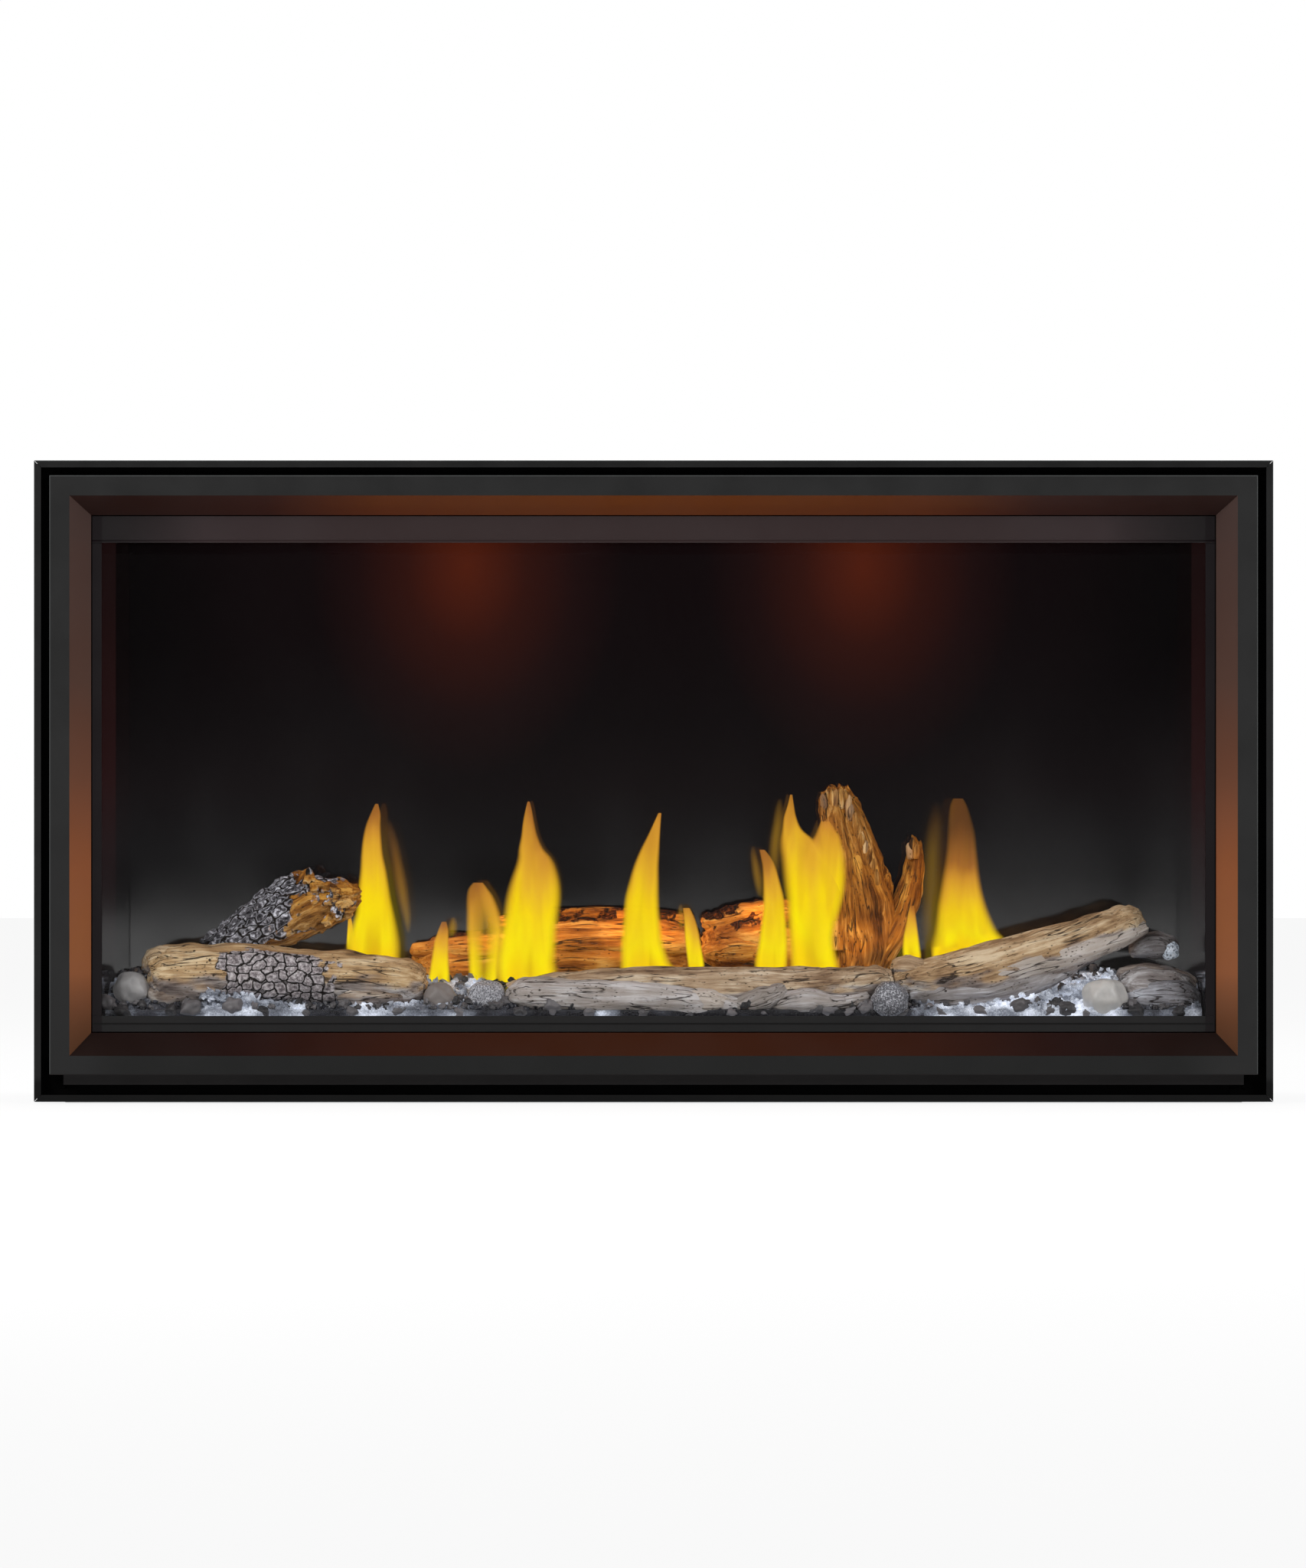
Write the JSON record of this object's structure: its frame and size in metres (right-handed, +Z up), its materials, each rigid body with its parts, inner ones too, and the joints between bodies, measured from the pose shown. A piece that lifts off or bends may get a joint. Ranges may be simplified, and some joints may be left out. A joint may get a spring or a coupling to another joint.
{
  "type": "direct vent gas fireplace",
  "caption": "Built-in linear gas fireplace: glass door in a splayed face frame, firebox with log and glass media bed, burner, casing and coaxial rear vent.",
  "frame": {"origin": "middle of the base, on the surface that the base rails stand on", "axes": "+Z up, -Y out of the glass front, +X to the right of someone who faces the glass"},
  "size_m": [1.422, 0.44, 0.738],
  "materials": {
    "galvanised": "spangled satin",
    "firebox_black": "matt heat-proof paint",
    "porcelain": "gloss black enamel",
    "trim_black": "satin black",
    "face_charcoal": "satin charcoal",
    "door_black": "satin black",
    "ceramic_glass": "clear",
    "gasket_rope": "woven glass fibre",
    "ember_glass": "crushed glass",
    "light_strip": "diffuser",
    "burner_steel": "aluminised",
    "electrode_ceramic": "glazed",
    "brass": "machined",
    "cast_valve": "die cast",
    "steel_pipe": "drawn",
    "module_plastic": "moulded",
    "lamp_housing": "heat-tinted",
    "driftwood": "painted ceramic fibre, weathered wood grain",
    "charred_wood": "painted ceramic fibre, charred",
    "grey_stone": "smooth",
    "speckled_stone": "speckled",
    "white_stone": "polished",
    "knob_plastic": "moulded",
    "lever_coating": "dipped"
  },
  "bodies": {
    "fireplace": {"casing_back": "galvanised", "casing_top": "galvanised", "casing_bottom": "galvanised", "casing_left": "galvanised", "casing_right": "galvanised", "base_rail_front": "galvanised", "base_rail_rear": "galvanised", "firebox_back": "firebox_black", "firebox_top": "firebox_black", "firebox_left": "firebox_black", "firebox_right": "firebox_black", "firebox_floor": "firebox_black", "liner_back": "porcelain", "liner_left": "porcelain", "liner_right": "porcelain", "trim_top": "trim_black", "trim_bottom": "trim_black", "trim_left": "trim_black", "trim_right": "trim_black", "burner_tray": "firebox_black", "burner_tube": "burner_steel", "ember_bed": "ember_glass", "led_strip": "light_strip", "pilot_assembly": "burner_steel", "igniter_electrode": "electrode_ceramic", "orifice_fitting": "brass", "gas_valve": "cast_valve", "gas_supply_pipe": "steel_pipe", "burner_feed_pipe": "steel_pipe", "shutoff_valve": "brass", "control_module": "module_plastic", "junction_box": "galvanised", "exhaust_collar": "galvanised", "intake_collar": "galvanised", "top_light_left": "lamp_housing", "top_light_right": "lamp_housing", "front_left_log": "driftwood", "front_centre_log": "driftwood", "front_right_log": "driftwood", "right_end_log": "driftwood", "rear_left_log": "charred_wood", "rear_centre_log": "driftwood", "stub_log": "driftwood", "forked_log": "driftwood", "stone_smooth": "grey_stone", "stone_speckled": "speckled_stone", "stone_white": "white_stone"},
    "face_frame": {"face_frame": "face_charcoal"},
    "glass_door": {"glass_rail_top": "door_black", "glass_rail_bottom": "door_black", "glass_stile_left": "door_black", "glass_stile_right": "door_black", "glass_pane": "ceramic_glass", "door_gasket": "gasket_rope"},
    "valve_knob": {"valve_knob": "knob_plastic"},
    "shutoff_lever": {"shutoff_lever": "lever_coating"},
    "air_shutter": {"air_shutter": "brass"},
    "relief_flap_left": {"relief_flap_left": "galvanised"},
    "relief_flap_right": {"relief_flap_right": "galvanised"}
  },
  "joints": [
    {"name": "face_frame_pull", "type": "slide", "parent": "fireplace", "child": "face_frame", "axis": [0, -1, 0], "range_m": [0, 0.04]},
    {"name": "glass_door_tilt", "type": "hinge", "parent": "fireplace", "child": "glass_door", "pos_m": [0, -0.186, 0.0818], "axis": [1, 0, 0], "range_deg": [0, 30]},
    {"name": "valve_knob_turn", "type": "hinge", "parent": "fireplace", "child": "valve_knob", "pos_m": [-0.3984, -0.11, 0.0423], "axis": [0, 1, 0], "range_deg": [0, 180]},
    {"name": "shutoff_lever_turn", "type": "hinge", "parent": "fireplace", "child": "shutoff_lever", "pos_m": [-0.56, -0.075, 0.0596], "axis": [0, 0, -1], "range_deg": [0, 90]},
    {"name": "air_shutter_turn", "type": "hinge", "parent": "fireplace", "child": "air_shutter", "pos_m": [-0.536, -0.03, 0.107], "axis": [-1, 0, 0], "range_deg": [0, 30]},
    {"name": "relief_flap_left_lift", "type": "hinge", "parent": "fireplace", "child": "relief_flap_left", "pos_m": [-0.43, 0.039, 0.6773], "axis": [-1, 0, 0], "range_deg": [0, 35]},
    {"name": "relief_flap_right_lift", "type": "hinge", "parent": "fireplace", "child": "relief_flap_right", "pos_m": [0.43, 0.039, 0.6773], "axis": [-1, 0, 0], "range_deg": [0, 35]}
  ]
}
